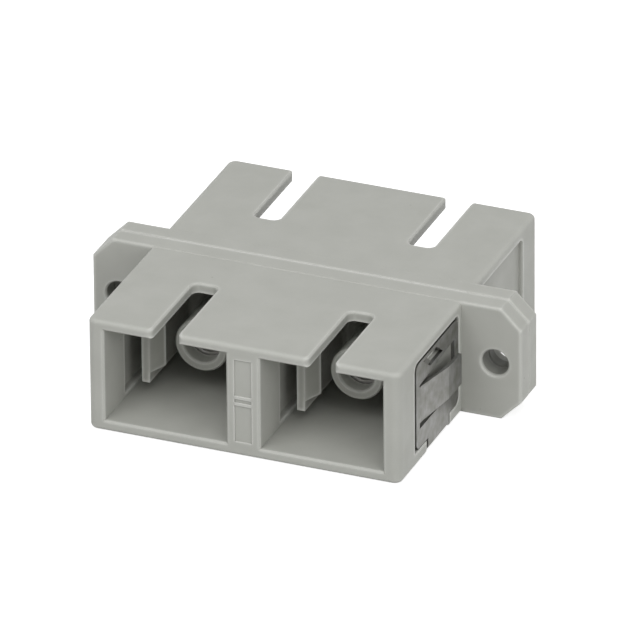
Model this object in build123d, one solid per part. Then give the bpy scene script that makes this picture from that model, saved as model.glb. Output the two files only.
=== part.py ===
from build123d import *
import os

# Duplex fibre adapter, in millimetres.
# X runs across the two ports, Y from the front mouth to the rear mouth, Z up.
# The origin is under the middle of the flange, on the surface that the body rests on.

# Body, one moulding used twice, back to back
port_pitch = 12.7
port_width = 9.95
port_height = 7.65
outer_wall = 1.375
floor_thickness = 0.9
roof_thickness = 0.8
half_length = 14.3
corner_round = 0.7
edge_round = 0.35
mouth_bevel = 0.15
bevel_angle = 45

# Flange with its two ears
ear_reach = 4.85
flange_half = 1.65
flange_step = 0.05
ear_chamfer = 1.65
flange_edge_round = 0.15
seam_bevel = 0.12
screw_hole_out = 2.7
screw_hole_radius = 1.1
hole_bevel = 0.12

# Pin and socket that line up the two halves
pin_radius = 0.5
pin_length = 0.8
pin_root = 0.8
pin_fit = 0.05
pin_out = 0.85
pin_drop = 1.9

# Keyways in the roof
keyway_width = 2.1
keyway_end = 5.9
keyway_end_round = 0.6
keyway_mouth_round = 0.5
keyway_bevel = 0.12

# Sunk panel on the front of the wall between the ports
panel_width = 1.4
panel_depth = 0.1
panel_margin = 1.2
rib_thickness = 0.25
rib_gap = 0.3

# Recess for the clip in each side, with a channel under the body
recess_depth = 0.35
recess_start = 2.15
recess_end = 11.25
recess_sill = 1.1
recess_head = 0.7
recess_round = 0.65
channel_start = 4.05
channel_width = 4.8
channel_edge_round = 0.25

# Pocket in each port wall that lets a latch hook spread
hook_pocket_depth = 0.5
hook_pocket_past_hook = 1.1
hook_pocket_start = 2.0
hook_pocket_margin = 0.65

# Latch and sleeve holder, four alike
base_depth = 1.25
base_overhang = 0.3
base_fit = 0.05
barrel_radius = 2.15
barrel_length = 7.15
barrel_bevel = 0.12
barrel_root_bevel = 0.4
lip_bore_radius = 1.43
lead_in_depth = 0.15
lead_in_widening = 0.1
hook_length = 9.2
hook_inside = 3.4
hook_thickness = 0.64
hook_height = 5.6
hook_root_round = 0.5
nose_rise = 0.7
nose_ramp = 1.6
nose_back = 0.15
nose_height = 3.9

# Split sleeve that lines up two ferrules
ferrule_radius = 1.25
sleeve_wall = 0.35
sleeve_length = 11.4
sleeve_slit = 0.5
sleeve_fit = 0.05
sleeve_end_gap = 0.15
sleeve_edge = 0.08

# Spring clip, one strip of sheet, with slack in front of it and above it
sheet = 0.3
clip_fit = 0.1
clip_seat_fit = 0.03
clip_front_slack = 0.5
clip_top_slack = 0.3
bend_radius = 0.1
clip_corner_round = 0.6
wing_root_border = 0.95
wing_bend = 5.85
wing_end = 3.4
wing_rise = 0.7
wing_tip_rise = 0.76
wing_height = 3.0
wing_end_height = 2.55
wing_slot_low = 0.5
wing_slot_high = 0.2
wing_slot_slope = 0.45
wing_slot_past_root = 0.3
wing_slot_border = 0.7
barb_window_border = 1.45
barb_window_drop = 0.3
barb_window_height = 1.0
barb_window_length = 2.65
barb_window_slant = 1.35
barb_length = 0.9
barb_sink = 0.22
barb_seat_depth = 0.3
barb_side_gap = 0.12

# Sizes that follow from the ones above
port_x = port_pitch / 2
body_width = port_pitch + port_width + 2 * outer_wall
body_height = floor_thickness + port_height + roof_thickness
side_x = body_width / 2
port_top = floor_thickness + port_height
axis_z = floor_thickness + port_height / 2
flange_width = body_width + 2 * ear_reach
flange_height = body_height + flange_step
screw_x = side_x + screw_hole_out
screw_z = flange_height / 2
recess_top = body_height - recess_head
recess_floor_x = side_x - recess_depth
hook_pocket_end = hook_length + hook_pocket_past_hook
channel_end = channel_start + channel_width
sleeve_radius = ferrule_radius + sleeve_wall
sleeve_seat = sleeve_length / 2 + sleeve_end_gap
clip_face_x = recess_floor_x + sheet
plate_start = recess_start + clip_fit
plate_end = recess_end - clip_front_slack
plate_top = recess_top - clip_top_slack
wing_root = plate_end - wing_root_border
barb_window_front = plate_end - barb_window_border
barb_window_rear = barb_window_front - barb_window_length
barb_high = plate_top - barb_window_drop
barb_low = barb_high - barb_window_height
beyond = 1.0


def block(x0, x1, y0, y1, z0, z1):
    """Rectangular block between two corners."""
    middle = Pos((x0 + x1) / 2, (y0 + y1) / 2, (z0 + z1) / 2)
    return middle * Box(abs(x1 - x0), abs(y1 - y0), abs(z1 - z0))


def rod(x, z, radius, y0, y1):
    """Round bar along Y."""
    turned = Rot(90, 0, 0) * Cylinder(radius, abs(y1 - y0))
    return Pos(x, (y0 + y1) / 2, z) * turned


def flare(x, z, y_wide, y_narrow, wide, narrow):
    """Cone along Y that widens from one end to the other."""
    profile = Polyline((0, y_narrow), (narrow, y_narrow), (wide, y_wide), (0, y_wide), close=True)
    return Pos(x, 0, z) * revolve(make_face(profile), Axis.Y)


def both_sides(shape):
    """A shape with its mirror image across the middle of the adapter."""
    return shape + mirror(shape, Plane.YZ)


def shell_outside():
    """Outer form of one half: the body with its rounded front, and its half of the flange."""
    body = block(-side_x, side_x, -half_length, 0, 0, body_height)
    upright = body.edges().filter_by(Axis.Z).group_by(Axis.Y)[0]
    body = fillet(upright, corner_round)
    rims = body.faces().filter_by(Axis.Z).edges()
    body = fillet(rims.filter_by(lambda edge: edge.center().Y < -edge_round), edge_round)
    outline = Pos(0, flange_height / 2) * Rectangle(flange_width, flange_height)
    outline = chamfer(outline.vertices(), ear_chamfer)
    flange = extrude(Plane.XZ * outline, flange_half)
    front_rim = flange.faces().sort_by(Axis.Y)[0].edges()
    flange = fillet(front_rim, flange_edge_round)
    seam_rim = flange.faces().sort_by(Axis.Y)[-1].edges()
    flange = chamfer(seam_rim, seam_bevel)
    return body + flange


def port_space():
    """What one port takes out: the mouth, the way through, the holder's seat and the hook pockets."""
    half = port_width / 2
    space = block(-half, half, -half_length - beyond, beyond, floor_thickness, port_top)
    mouth = Pos(0, axis_z) * Rectangle(port_width, port_height)
    rim_plane = Plane.XZ.offset(half_length - mouth_bevel)
    space += extrude(rim_plane * mouth, 2 * mouth_bevel, taper=-bevel_angle)
    seat = half + base_overhang + base_fit
    space += block(-seat, seat, -base_depth, beyond, floor_thickness, port_top)
    spread = half + hook_pocket_depth
    reach = hook_height / 2 + hook_pocket_margin
    space += block(
        -spread, spread, -hook_pocket_end, -hook_pocket_start, axis_z - reach, axis_z + reach
    )
    return space


def keyway_plan():
    """Outline of a keyway from above, with a rounded inner end and a flared mouth."""
    half = keyway_width / 2
    front = -half_length - beyond
    slot = Pos(0, (front - keyway_end) / 2) * Rectangle(keyway_width, -keyway_end - front)
    inner_end = slot.vertices().group_by(Axis.Y)[-1]
    slot = fillet(inner_end, keyway_end_round)
    reach = keyway_mouth_round
    patch_back = -half_length + reach
    patch = Pos(half + reach / 2, (front + patch_back) / 2) * Rectangle(reach, patch_back - front)
    patch -= Pos(half + reach, patch_back) * Circle(reach)
    return slot + patch + mirror(patch, Plane.YZ)


def keyway_space():
    """Slot through the roof, with a fine bevel along its upper edge."""
    plan = keyway_plan()
    slot = extrude(Plane.XY.offset(port_top - beyond) * plan, roof_thickness + 2 * beyond)
    bevel = extrude(Plane.XY.offset(body_height - keyway_bevel) * plan, 2 * keyway_bevel, taper=-bevel_angle)
    return slot + bevel


def divider_panel():
    """Sunk panel between the two mouths, crossed by a pair of thin ribs."""
    half = panel_width / 2
    back = -half_length + panel_depth
    panel = block(-half, half, -half_length - beyond, back, panel_margin, body_height - panel_margin)
    for side in (-1, 1):
        rib_z = body_height / 2 + side * (rib_gap + rib_thickness) / 2
        low = rib_z - rib_thickness / 2
        panel -= block(-half, half, -half_length, back, low, low + rib_thickness)
    return panel


def clip_recess():
    """Room for the clip: a sunk field in each side, square at its lower front, and a channel."""
    middle_y = -(recess_start + recess_end) / 2
    middle_z = (recess_sill + recess_top) / 2
    field = Pos(middle_y, middle_z) * Rectangle(recess_end - recess_start, recess_top - recess_sill)
    low_front = field.vertices().sort_by(Axis.Y)[:2].sort_by(Axis.X)[0]
    rounded = [corner for corner in field.vertices() if corner != low_front]
    field = fillet(rounded, recess_round)
    side = extrude(Plane.YZ.offset(recess_floor_x) * field, recess_depth + beyond)
    left_behind = Pos(0, (recess_depth + body_height) / 2) * Rectangle(
        2 * recess_floor_x, body_height - recess_depth
    )
    left_behind = fillet(left_behind.vertices().group_by(Axis.Y)[0], channel_edge_round)
    channel = block(-side_x - beyond, side_x + beyond, -channel_end, -channel_start, -beyond, middle_z)
    channel -= extrude(Plane.XZ * left_behind, half_length)
    return both_sides(side) + channel


def barb_seats():
    """Notch in the floor of each front recess that the clip's barb bites into."""
    low_x = recess_floor_x - barb_seat_depth
    front = -barb_window_front - barb_side_gap
    rear = -barb_window_rear + barb_window_slant
    return both_sides(block(low_x, side_x, front, rear, barb_low, barb_high))


def screw_hole():
    """Hole through an ear, with its front rim and the seam inside it broken."""
    hole = rod(screw_x, screw_z, screw_hole_radius, -flange_half - beyond, beyond)
    rim = screw_hole_radius + hole_bevel
    front = -flange_half
    hole += flare(screw_x, screw_z, front, front + hole_bevel, rim, screw_hole_radius)
    hole += flare(screw_x, screw_z, 0, -seam_bevel, screw_hole_radius + seam_bevel, screw_hole_radius)
    return hole


def housing_half():
    """One housing half, mouth to the front. The same moulding turned round makes the rear."""
    shell = shell_outside()
    for x in (-port_x, port_x):
        shell -= Pos(x, 0, 0) * port_space()
        shell -= Pos(x, 0, 0) * keyway_space()
    shell -= divider_panel()
    shell -= clip_recess()
    shell -= both_sides(screw_hole())
    pin_x = side_x + pin_out
    pin_z = flange_height - pin_drop
    shell -= rod(-pin_x, pin_z, pin_radius + pin_fit, -pin_length - pin_fit, beyond)
    shell += rod(pin_x, pin_z, pin_radius, -pin_root, pin_length)
    return shell


def hook():
    """Latch hook on the right of a barrel: an arm with a wedge nose that points inwards."""
    outside = hook_inside + hook_thickness
    low = axis_z - hook_height / 2
    arm = block(hook_inside, outside, -hook_length, -base_depth, low, low + hook_height)
    peak = hook_inside - nose_rise
    ramp_end = -hook_length + nose_ramp
    wedge = Polyline(
        (hook_inside, -hook_length),
        (peak, ramp_end),
        (hook_inside, ramp_end + nose_back),
        close=True,
    )
    nose = extrude(Plane.XY.offset(axis_z - nose_height / 2) * make_face(wedge), nose_height)
    root = block(
        hook_inside - hook_root_round,
        hook_inside,
        -base_depth - hook_root_round,
        -base_depth,
        low,
        low + hook_height,
    )
    centre = Pos(hook_inside - hook_root_round, -base_depth - hook_root_round, axis_z)
    root -= centre * Cylinder(hook_root_round, hook_height)
    return arm + nose + root


def holder():
    """Latch and sleeve holder of one port: base plate, barrel with an inner lip, and two hooks."""
    half = port_width / 2 + base_overhang
    base = block(-half, half, -base_depth, 0, floor_thickness + base_fit, port_top - base_fit)
    barrel = rod(0, axis_z, barrel_radius, -barrel_length, 0)
    barrel = chamfer(barrel.edges().sort_by(Axis.Y)[0], barrel_bevel)
    collar = Polyline(
        (0, -base_depth - barrel_root_bevel),
        (barrel_radius, -base_depth - barrel_root_bevel),
        (barrel_radius + barrel_root_bevel, -base_depth),
        (0, -base_depth),
        close=True,
    )
    root = Pos(0, 0, axis_z) * revolve(make_face(collar), Axis.Y)
    part = base + barrel + root + both_sides(hook())
    part -= rod(0, axis_z, sleeve_radius + sleeve_fit, -sleeve_seat, beyond)
    part -= rod(0, axis_z, lip_bore_radius, -barrel_length - beyond, beyond)
    mouth = lip_bore_radius + lead_in_widening
    part -= flare(0, axis_z, -barrel_length, -barrel_length + lead_in_depth, mouth, lip_bore_radius)
    return part


def sleeve():
    """Split alignment sleeve, slit on top, with broken edges at both ends."""
    tube = rod(0, axis_z, sleeve_radius, -sleeve_length / 2, sleeve_length / 2)
    tube -= rod(0, axis_z, ferrule_radius, -sleeve_length, sleeve_length)
    tube = chamfer(tube.edges().filter_by(GeomType.CIRCLE), sleeve_edge)
    half = sleeve_slit / 2
    return tube - block(-half, half, -sleeve_length, sleeve_length, axis_z, axis_z + sleeve_radius + beyond)


def clip_blank():
    """Clip before lancing: sheet bent up both sides, cut to its strap and its two plates."""
    low = recess_depth - sheet
    section = Pos(0, (low + plate_top) / 2) * Rectangle(2 * clip_face_x, plate_top - low)
    section = fillet(section.vertices().group_by(Axis.Y)[0], bend_radius + sheet)
    open_top = plate_top + beyond
    inside = Pos(0, (recess_depth + open_top) / 2) * Rectangle(2 * recess_floor_x, open_top - recess_depth)
    inside = fillet(inside.vertices().group_by(Axis.Y)[0], bend_radius)
    sheet_u = extrude(Plane.XZ * (section - inside), half_length)
    sill = recess_sill + clip_seat_fit
    plate = Pos(-(plate_start + plate_end) / 2, (sill + plate_top) / 2)
    plate *= RectangleRounded(plate_end - plate_start, plate_top - sill, clip_corner_round)
    strap_start = channel_start + clip_fit
    strap_end = channel_end - clip_front_slack
    strap = Pos(-(strap_start + strap_end) / 2, sill) * Rectangle(strap_end - strap_start, 2 * sill)
    outline = Plane.YZ.offset(-side_x) * (plate + strap)
    return sheet_u & extrude(outline, 2 * side_x)


def wing_opening():
    """Outline cut out of the plate round the wing, seen from the side; the root stays on."""
    low = axis_z - wing_height / 2
    high = axis_z + wing_height / 2
    past = wing_root + wing_slot_past_root
    rear = plate_start + wing_slot_border
    around = Polyline(
        (-past, low - wing_slot_low),
        (-rear, low - wing_slot_low),
        (-rear, high + wing_slot_high + wing_slot_slope),
        (-past, high + wing_slot_high),
        close=True,
    )
    root = Pos(-past, axis_z) * Rectangle(2 * wing_slot_past_root, wing_height)
    return make_face(around) - root


def wing():
    """Wing of the right plate: it slopes out from its root and runs level to its end."""
    bend_x = clip_face_x + wing_rise
    tip_x = clip_face_x + wing_tip_rise
    strip = Polyline(
        (clip_face_x, -wing_root),
        (bend_x, -wing_bend),
        (tip_x, -wing_end),
        (tip_x - sheet, -wing_end),
        (bend_x - sheet, -wing_bend),
        (recess_floor_x, -wing_root),
        close=True,
    )
    body = extrude(Plane.XY.offset(axis_z - wing_height / 2) * make_face(strip), wing_height)
    taper = Polyline(
        (-wing_root - beyond, axis_z - wing_height / 2),
        (-wing_root, axis_z - wing_height / 2),
        (-wing_end, axis_z - wing_end_height / 2),
        (-wing_end, axis_z + wing_end_height / 2),
        (-wing_root, axis_z + wing_height / 2),
        (-wing_root - beyond, axis_z + wing_height / 2),
        close=True,
    )
    return body & extrude(Plane.YZ * make_face(taper), side_x + ear_reach)


def barb_outline(start, end, margin):
    """Slanting outline of the barb's window, or of the tongue that stands a margin inside it."""
    low = barb_low + margin
    high = barb_high - margin
    slant = barb_window_slant * (high - low) / barb_window_height
    outline = Polyline((start, high), (end, high), (end + slant, low), (start + slant, low), close=True)
    return make_face(outline)


def barb():
    """Tongue in the window, joined at its front end and pressed in to bite into the housing."""
    start = -barb_window_front - barb_side_gap
    end = -barb_window_front + barb_length
    strip_end = end + barb_window_slant
    strip = Polyline(
        (clip_face_x, start),
        (clip_face_x - barb_sink, strip_end),
        (recess_floor_x - barb_sink, strip_end),
        (recess_floor_x, start),
        close=True,
    )
    body = extrude(Plane.XY.offset(barb_low) * make_face(strip), barb_window_height)
    tongue = barb_outline(start, end, barb_side_gap)
    return body & extrude(Plane.YZ * tongue, side_x)


def mounting_clip():
    """One-piece spring clip: strap under the front half, and a plate with a wing on each side."""
    window = barb_outline(-barb_window_front, -barb_window_rear, 0)
    outlines = wing_opening() + window
    cut = extrude(Plane.YZ.offset(recess_floor_x - beyond) * outlines, 2 * beyond + sheet)
    clip = clip_blank() - both_sides(cut)
    return clip + both_sides(wing() + barb())


def write(shape, name):
    """One file for each piece."""
    shape.label = name
    export_step(shape, "parts/" + name + ".step")


os.makedirs("parts", exist_ok=True)
turned_round = Rot(0, 0, 180)
half_shell = housing_half()
write(half_shell - barb_seats(), "front_housing")
write(turned_round * half_shell, "rear_housing")
for side, x in (("left", -port_x), ("right", port_x)):
    write(Pos(x, 0, 0) * holder(), "front_" + side + "_holder")
    write(Pos(x, 0, 0) * turned_round * holder(), "rear_" + side + "_holder")
    write(Pos(x, 0, 0) * sleeve(), side + "_sleeve")
write(mounting_clip(), "mounting_clip")
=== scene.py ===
import math

import bpy
from mathutils import Matrix, Vector

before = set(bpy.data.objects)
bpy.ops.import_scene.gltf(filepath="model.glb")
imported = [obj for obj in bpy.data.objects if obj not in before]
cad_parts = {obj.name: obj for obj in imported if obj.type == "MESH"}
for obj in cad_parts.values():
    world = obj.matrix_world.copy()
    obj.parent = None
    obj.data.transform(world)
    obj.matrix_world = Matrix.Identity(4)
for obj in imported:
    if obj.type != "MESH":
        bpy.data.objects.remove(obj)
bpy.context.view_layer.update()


# Housing halves.
# Two like mouldings in warm light grey thermoplastic, set back to back and joined at the flange.
# The tool was spark finished, so the faces are matt, with faint clouds and a few specks. The outer
# edges carry a painted highlight, and slits and corners a painted shade.
housing_grey = (0.444, 0.449, 0.416, 1.0)
housing_grey_deep = (0.415, 0.42, 0.387, 1.0)
housing_roughness = (0.42, 0.54)
housing_edge_radius = 0.00008
painted_highlight_grey = (0.74, 0.745, 0.71, 1.0)
speck_grey = (0.27, 0.27, 0.245, 1.0)
speck_core = 0.3
speck_rarity = 0.72
painted_shade_grey = (0.09, 0.09, 0.075, 1.0)
matt_specular = 0.3
noise_low = 0.3
noise_high = 0.7
bump_depth = 0.00001


def new_material(name):
    """Node material, with the tree of its nodes and the shader at the end of them."""
    material = bpy.data.materials.new(name)
    material.use_nodes = True
    return material, material.node_tree, material.node_tree.nodes["Principled BSDF"]


def object_pattern(tree, squeeze=(1.0, 1.0, 1.0)):
    """Coordinates in metres on the piece itself, squeezed where a pattern has a direction."""
    coordinates = tree.nodes.new("ShaderNodeTexCoord")
    mapping = tree.nodes.new("ShaderNodeMapping")
    mapping.inputs["Scale"].default_value = squeeze
    tree.links.new(coordinates.outputs["Object"], mapping.inputs["Vector"])
    return mapping.outputs["Vector"]


def calculate(tree, operation, *values):
    """Result of a Math node on sockets and plain numbers."""
    step = tree.nodes.new("ShaderNodeMath")
    step.operation = operation
    for entry, value in zip(step.inputs, values):
        if isinstance(value, float):
            entry.default_value = value
        else:
            tree.links.new(value, entry)
    return step.outputs["Value"]


def remap(tree, value, start, end, low=0.0, high=1.0):
    """Number that goes from low to high as a value goes from start to end, and no further."""
    span = tree.nodes.new("ShaderNodeMapRange")
    limits = {"From Min": start, "From Max": end, "To Min": low, "To Max": high}
    for limit, number in limits.items():
        span.inputs[limit].default_value = number
    tree.links.new(value, span.inputs["Value"])
    return span.outputs["Result"]


def clouds(tree, where, size, detail):
    """Soft noise whose patches are about the given size in metres."""
    noise = tree.nodes.new("ShaderNodeTexNoise")
    noise.inputs["Scale"].default_value = 1.0 / size
    noise.inputs["Detail"].default_value = detail
    tree.links.new(where, noise.inputs["Vector"])
    return noise.outputs["Fac"]


def ramp(tree, noise, low, high):
    """Colour that goes from one tone to another with a noise."""
    tones = tree.nodes.new("ShaderNodeValToRGB")
    first, last = tones.color_ramp.elements
    first.position, first.color = noise_low, low
    last.position, last.color = noise_high, high
    tree.links.new(noise, tones.inputs["Fac"])
    return tones.outputs["Color"]


def between(tree, noise, low, high):
    """Plain number that follows a noise between two limits."""
    return remap(tree, noise, noise_low, noise_high, low, high)


def blend(tree, mask, tone, other):
    """One tone laid over another where a mask says so."""
    mix = tree.nodes.new("ShaderNodeMix")
    mix.data_type = "RGBA"
    tree.links.new(mask, mix.inputs["Factor"])
    tree.links.new(tone, mix.inputs["A"])
    mix.inputs["B"].default_value = other
    return mix.outputs["Result"]


def specks(tree, where, spacing, size):
    """Mask of small dots, one in each cell of the spacing, most of them too faint to see."""
    cells = tree.nodes.new("ShaderNodeTexVoronoi")
    cells.inputs["Scale"].default_value = 1.0 / spacing
    tree.links.new(where, cells.inputs["Vector"])
    chance = tree.nodes.new("ShaderNodeSeparateColor")
    tree.links.new(cells.outputs["Color"], chance.inputs["Color"])
    rim = size / spacing
    dot = remap(tree, cells.outputs["Distance"], start=rim, end=speck_core * rim)
    rare = remap(tree, chance.outputs["Red"], start=speck_rarity, end=1.0)
    return calculate(tree, "MULTIPLY", dot, rare)


def closeness(tree, reach, inside, start, end, most):
    """Mask that rises on the piece's outer edges (inside), or down in slits and corners (not)."""
    nearby = tree.nodes.new("ShaderNodeAmbientOcclusion")
    nearby.samples = 8
    nearby.inside = inside
    nearby.only_local = inside
    nearby.inputs["Distance"].default_value = reach
    return remap(tree, nearby.outputs["AO"], start, end, high=most)


def zone(tree, where, middle, reach, most):
    """Mask of a box, in metres, on the part's right side and of its mirror image on the left."""
    apart = tree.nodes.new("ShaderNodeSeparateXYZ")
    tree.links.new(where, apart.inputs["Vector"])
    outward = calculate(tree, "ABSOLUTE", apart.outputs["X"])
    places = (outward, apart.outputs["Y"], apart.outputs["Z"])
    mask = most
    for place, centre, half in zip(places, middle, reach):
        within = calculate(tree, "COMPARE", place, centre, half)
        mask = calculate(tree, "MULTIPLY", within, mask)
    return mask


def relief(tree, shader, edge_radius, height, strength):
    """Softly broken edges, and a fine bump over the whole surface."""
    edge = tree.nodes.new("ShaderNodeBevel")
    edge.inputs["Radius"].default_value = edge_radius
    bump = tree.nodes.new("ShaderNodeBump")
    bump.inputs["Strength"].default_value = strength
    bump.inputs["Distance"].default_value = bump_depth
    tree.links.new(height, bump.inputs["Height"])
    tree.links.new(edge.outputs["Normal"], bump.inputs["Normal"])
    tree.links.new(bump.outputs["Normal"], shader.inputs["Normal"])


def moulded_plastic(name, deep, light, roughness, edge_radius, painted_shade_zones=()):
    """Matt moulded plastic: clouds, specks, painted edge highlights, painted shade in slits and
    zones, grain.
    """
    material, tree, shader = new_material(name)
    where = object_pattern(tree)
    tone = ramp(tree, clouds(tree, where, size=0.0025, detail=8.0), deep, light)
    tone = blend(tree, specks(tree, where, spacing=0.0016, size=0.0001), tone, speck_grey)
    # Painted highlight: the outer edges are painted paler than the rest.
    painted_edge_highlight = closeness(tree, reach=0.00035, inside=True, start=0.93, end=0.5, most=0.85)
    tone = blend(tree, painted_edge_highlight, tone, painted_highlight_grey)
    # Painted shade: slits, recesses and corners are painted darker.
    painted_crevice_shade = closeness(tree, reach=0.0006, inside=False, start=0.55, end=0.15, most=0.75)
    tone = blend(tree, painted_crevice_shade, tone, painted_shade_grey)
    # Painted shade: the listed zones are painted darker.
    for shade_zone in painted_shade_zones:
        tone = blend(tree, zone(tree, where, **shade_zone), tone, painted_shade_grey)
    tree.links.new(tone, shader.inputs["Base Color"])
    worn = clouds(tree, where, size=0.0012, detail=6.0)
    tree.links.new(between(tree, worn, *roughness), shader.inputs["Roughness"])
    shader.inputs["Specular IOR Level"].default_value = matt_specular
    grain = clouds(tree, where, size=0.00012, detail=4.0)
    relief(tree, shader, edge_radius, grain, strength=0.12)
    return material


def dress(node, material):
    """Gives a node of the frame its material."""
    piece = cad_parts[node]
    piece.data.materials.clear()
    piece.data.materials.append(material)


# The recess behind the clip and the inside of the screw holes are painted darker, as painted shade.
behind_clip = {
    "middle": (0.01235, -0.0067, 0.0048),
    "reach": (0.00005, 0.0045, 0.0038),
    "most": 0.3,
}
in_screw_hole = {
    "middle": (0.0154, -0.0002, 0.0047),
    "reach": (0.0012, 0.0011, 0.0012),
    "most": 0.6,
}
housing_plastic = moulded_plastic(
    "housing_plastic",
    housing_grey_deep,
    housing_grey,
    housing_roughness,
    housing_edge_radius,
    painted_shade_zones=(behind_clip, in_screw_hole),
)
for half in ("front_housing", "rear_housing"):
    dress(half, housing_plastic)


# Latch and sleeve holders.
# Four like mouldings in the same grey resin, a little smoother, with a barrel and two sprung hooks.
# They sit back to back in the middle of the housing, held by its two halves.
holder_grey = (0.425, 0.43, 0.395, 1.0)
holder_grey_deep = (0.395, 0.4, 0.365, 1.0)
holder_roughness = (0.3, 0.4)
holder_edge_radius = 0.00006
# Like the housing, this plastic has painted edge highlights and painted shade in slits and corners.
holder_plastic = moulded_plastic(
    "holder_plastic", holder_grey_deep, holder_grey, holder_roughness, holder_edge_radius
)
for end in ("front", "rear"):
    for side in ("left", "right"):
        dress(f"{end}_{side}_holder", holder_plastic)


# Split sleeves.
# Two tubes of ground zirconia, each slit along its length so that it grips two ferrules.
# They float in the barrels, held between the lips of the front and rear holders.
# Painted shade: the sleeve tones are a dark grey that stands for the shade deep in the barrels.
shaded_sleeve_pale = (0.38, 0.37, 0.345, 1.0)
shaded_sleeve_deep = (0.31, 0.3, 0.275, 1.0)
zirconia_ior = 2.1
zirconia, tree, shader = new_material("ground_zirconia")
where = object_pattern(tree, squeeze=(1.0, 12.0, 1.0))
drift = clouds(tree, where, size=0.003, detail=3.0)
tree.links.new(ramp(tree, drift, shaded_sleeve_deep, shaded_sleeve_pale), shader.inputs["Base Color"])
grinding = clouds(tree, where, size=0.0006, detail=5.0)
tree.links.new(between(tree, grinding, low=0.4, high=0.55), shader.inputs["Roughness"])
shader.inputs["IOR"].default_value = zirconia_ior
for side in ("left", "right"):
    dress(f"{side}_sleeve", zirconia)


# Mounting clip.
# One strip of stainless spring steel, lanced for its wings and barbs and folded up round the front
# half. The mill finish is satin, with fine rolling lines along the strip and a mottled sheen.
steel_light = (0.275, 0.274, 0.267, 1.0)
steel_dark = (0.185, 0.184, 0.166, 1.0)
steel_painted_shade = (0.06, 0.06, 0.048, 1.0)
steel_edge_radius = 0.00004
spring_steel, tree, shader = new_material("spring_steel")
mottle = clouds(tree, object_pattern(tree), size=0.0008, detail=6.0)
tone = ramp(tree, mottle, steel_dark, steel_light)
# Painted shade: slits and corners of the clip are painted darker.
crevice_shade_on_steel = closeness(tree, reach=0.0005, inside=False, start=0.55, end=0.15, most=0.75)
tree.links.new(blend(tree, crevice_shade_on_steel, tone, steel_painted_shade), shader.inputs["Base Color"])
rolled = object_pattern(tree, squeeze=(1.0, 9.0, 1.0))
rolling = clouds(tree, rolled, size=0.0009, detail=6.0)
tree.links.new(between(tree, rolling, low=0.4, high=0.56), shader.inputs["Roughness"])
shader.inputs["Metallic"].default_value = 1.0
relief(tree, shader, steel_edge_radius, rolling, strength=0.2)
dress("mounting_clip", spring_steel)


# Floor.
# A pale matt table top, a hair below the part so that no two faces share a plane.
# It shows white wherever the background does, and keeps a faint contact shadow.
table_half_width = 3.0
table_drop = 0.00002
table_grey = (0.7, 0.7, 0.7, 1.0)
table_glow = 0.72
table_glow_white = (1.0, 1.0, 1.0, 1.0)
bpy.ops.mesh.primitive_plane_add(size=2 * table_half_width, location=(0.0, 0.0, -table_drop))
table = bpy.context.object
table.name = "table_top"


def background_rays(tree):
    """1 for a ray straight from the camera, off a gloss or through glass, and 0 for any other."""
    path = tree.nodes.new("ShaderNodeLightPath")
    rays = path.outputs["Is Camera Ray"]
    for kind in ("Is Glossy Ray", "Is Transmission Ray"):
        rays = calculate(tree, "MAXIMUM", rays, path.outputs[kind])
    return rays


table_white, tree, shader = new_material("table_white")
shader.inputs["Base Color"].default_value = table_grey
shader.inputs["Roughness"].default_value = 0.9
shader.inputs["Specular IOR Level"].default_value = 0.0
shader.inputs["Emission Color"].default_value = table_glow_white
glow = calculate(tree, "MULTIPLY", background_rays(tree), table_glow)
tree.links.new(glow, shader.inputs["Emission Strength"])
table.data.materials.append(table_white)


# Light.
# A soft tent of even light with four large panels: a key to the left of the camera, a weaker one
# to its right, one straight above the part and one low on its right side.
tent_strength = 0.31
tent_white = (1.0, 1.0, 1.0, 1.0)
left_key_power = 0.33
right_key_power = 0.2
over_power = 0.45
side_power = 0.33
world = bpy.data.worlds.new("light_tent")
bpy.context.scene.world = world
world.use_nodes = True
tree = world.node_tree
background = tree.nodes["Background"]
background.inputs["Color"].default_value = tent_white
white_or_tent = remap(tree, background_rays(tree), start=0.0, end=1.0, low=tent_strength, high=1.0)
tree.links.new(white_or_tent, background.inputs["Strength"])


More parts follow.
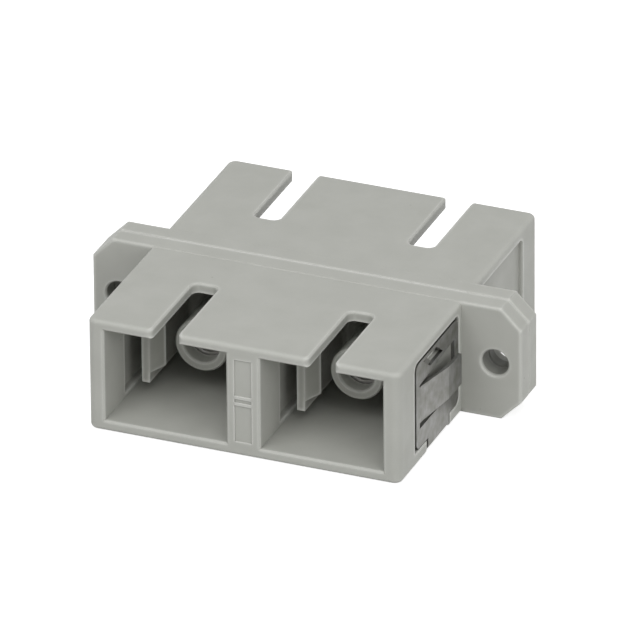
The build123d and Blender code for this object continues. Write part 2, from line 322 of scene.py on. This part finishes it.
def panel(name, azimuth, elevation, power, distance=0.36, size=0.2):
    """Square light panel that faces the part from the given side, in degrees and metres."""
    turn = math.radians(azimuth)
    rise = math.radians(elevation)
    away = Vector((
        math.sin(turn) * math.cos(rise),
        -math.cos(turn) * math.cos(rise),
        math.sin(rise),
    ))
    lamp = bpy.data.lights.new(name, "AREA")
    lamp.shape = "SQUARE"
    lamp.size = size
    lamp.energy = power
    holder = bpy.data.objects.new(name, lamp)
    holder.location = away * distance
    holder.rotation_mode = "QUATERNION"
    holder.rotation_quaternion = away.to_track_quat("Z", "Y")
    bpy.context.scene.collection.objects.link(holder)


panel("left_key", azimuth=-25.0, elevation=50.0, power=left_key_power)
panel("right_key", azimuth=25.0, elevation=50.0, power=right_key_power)
panel("over_panel", azimuth=0.0, elevation=89.0, power=over_power, distance=0.4, size=0.4)
panel("side_panel", azimuth=60.0, elevation=22.0, power=side_power)


# Camera.
# The long lens of a catalogue picture, found by fitting the part's ports, edges and round holes.
# Its focal length follows from the distance and from the pixels that a metre of the part covers.
view_azimuth = math.radians(22.2)
view_elevation = math.radians(27.7)
view_roll = math.radians(-0.45)
view_distance = 0.9927
pixels_per_metre = 13135.0
picture_width = 640
film_width = 36.0
nearest_seen = 0.01
farthest_seen = 10.0
middle_of_part = Vector((0.0, 0.0, 0.00465))
part_left_of_centre = 0.00045
back = Vector((
    math.sin(view_azimuth) * math.cos(view_elevation),
    -math.cos(view_azimuth) * math.cos(view_elevation),
    math.sin(view_elevation),
))
level_right = Vector((0.0, 0.0, 1.0)).cross(back).normalized()
level_up = back.cross(level_right)
right = level_right * math.cos(view_roll) + level_up * math.sin(view_roll)
up = level_up * math.cos(view_roll) - level_right * math.sin(view_roll)
camera_data = bpy.data.cameras.new("catalogue_camera")
camera_data.sensor_width = film_width
camera_data.lens = film_width * pixels_per_metre * view_distance / picture_width
camera_data.clip_start = nearest_seen
camera_data.clip_end = farthest_seen
camera = bpy.data.objects.new("catalogue_camera", camera_data)
bpy.context.scene.collection.objects.link(camera)
stand = middle_of_part + back * view_distance + right * part_left_of_centre
camera.matrix_world = Matrix.Translation(stand) @ Matrix((right, up, back)).transposed().to_4x4()
bpy.context.scene.camera = camera
bpy.context.scene.view_settings.view_transform = "Standard"
